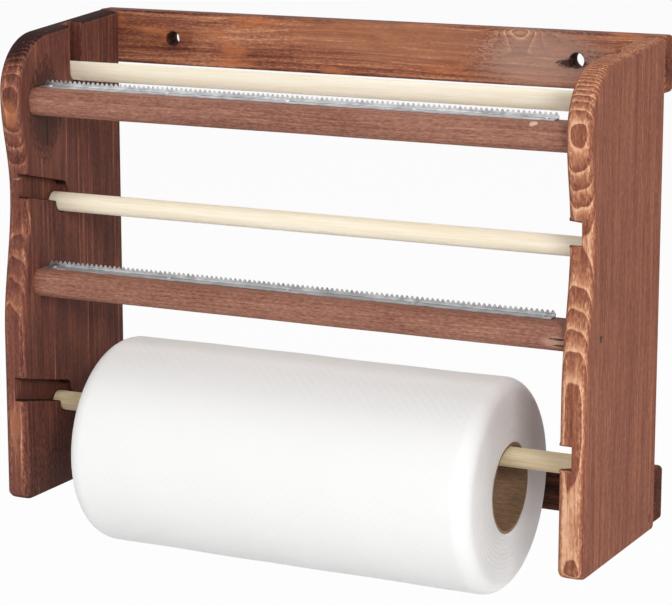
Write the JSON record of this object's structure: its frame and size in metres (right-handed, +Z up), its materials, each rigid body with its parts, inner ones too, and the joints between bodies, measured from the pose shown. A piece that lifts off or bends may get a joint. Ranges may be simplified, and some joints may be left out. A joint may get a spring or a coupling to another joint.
{
  "type": "triple kitchen roll holder",
  "caption": "Wall-hung stained pine holder with shaped side panels, loose lift-out dowels, serrated cutter bars and a paper roll hanging on its core.",
  "frame": {"origin": "midway between the two wall screw holes, on the rails' back faces", "axes": "+X along the rails to the right as seen from the front, +Y into the wall, +Z up"},
  "size_m": [0.32, 0.125, 0.2707],
  "materials": {
    "stained_pine": "satin stain over open grain",
    "bare_wood": "sanded, unfinished",
    "zinc_steel": "dull zinc",
    "white_paper": "matte, embossed",
    "brown_board": "matte",
    "dark_filler": "matte"
  },
  "bodies": {
    "frame": {"left_side_panel": "stained_pine", "right_side_panel": "stained_pine", "top_back_rail": "stained_pine", "lower_back_rail": "stained_pine", "upper_cutter_bar": "stained_pine", "lower_cutter_bar": "stained_pine", "upper_serrated_strip": "zinc_steel", "lower_serrated_strip": "zinc_steel", "upper_strip_tacks": "zinc_steel", "lower_strip_tacks": "zinc_steel", "top_rail_screws": "zinc_steel", "lower_rail_screws": "zinc_steel", "upper_bar_nails": "zinc_steel", "lower_bar_nails": "zinc_steel", "left_nail_fillers": "dark_filler", "right_nail_fillers": "dark_filler"},
    "top_dowel": {"top_dowel": "bare_wood"},
    "middle_dowel": {"middle_dowel": "bare_wood"},
    "bottom_dowel": {"bottom_dowel": "bare_wood"},
    "roll": {"paper_roll": "white_paper", "cardboard_core": "brown_board"}
  },
  "joints": [
    {"name": "top_dowel_lift", "type": "slide", "parent": "frame", "child": "top_dowel", "axis": [0, 0, 1], "range_m": [0, 0.04]},
    {"name": "middle_dowel_lift", "type": "slide", "parent": "frame", "child": "middle_dowel", "axis": [0, 0, 1], "range_m": [0, 0.0054]},
    {"name": "bottom_dowel_lift", "type": "slide", "parent": "frame", "child": "bottom_dowel", "axis": [0, 0, 1], "range_m": [0, 0.0054]},
    {"name": "roll_turn", "type": "hinge", "parent": "bottom_dowel", "child": "roll", "pos_m": [-0.004, -0.071, -0.2027], "axis": [1, 0, 0], "continuous": true}
  ]
}
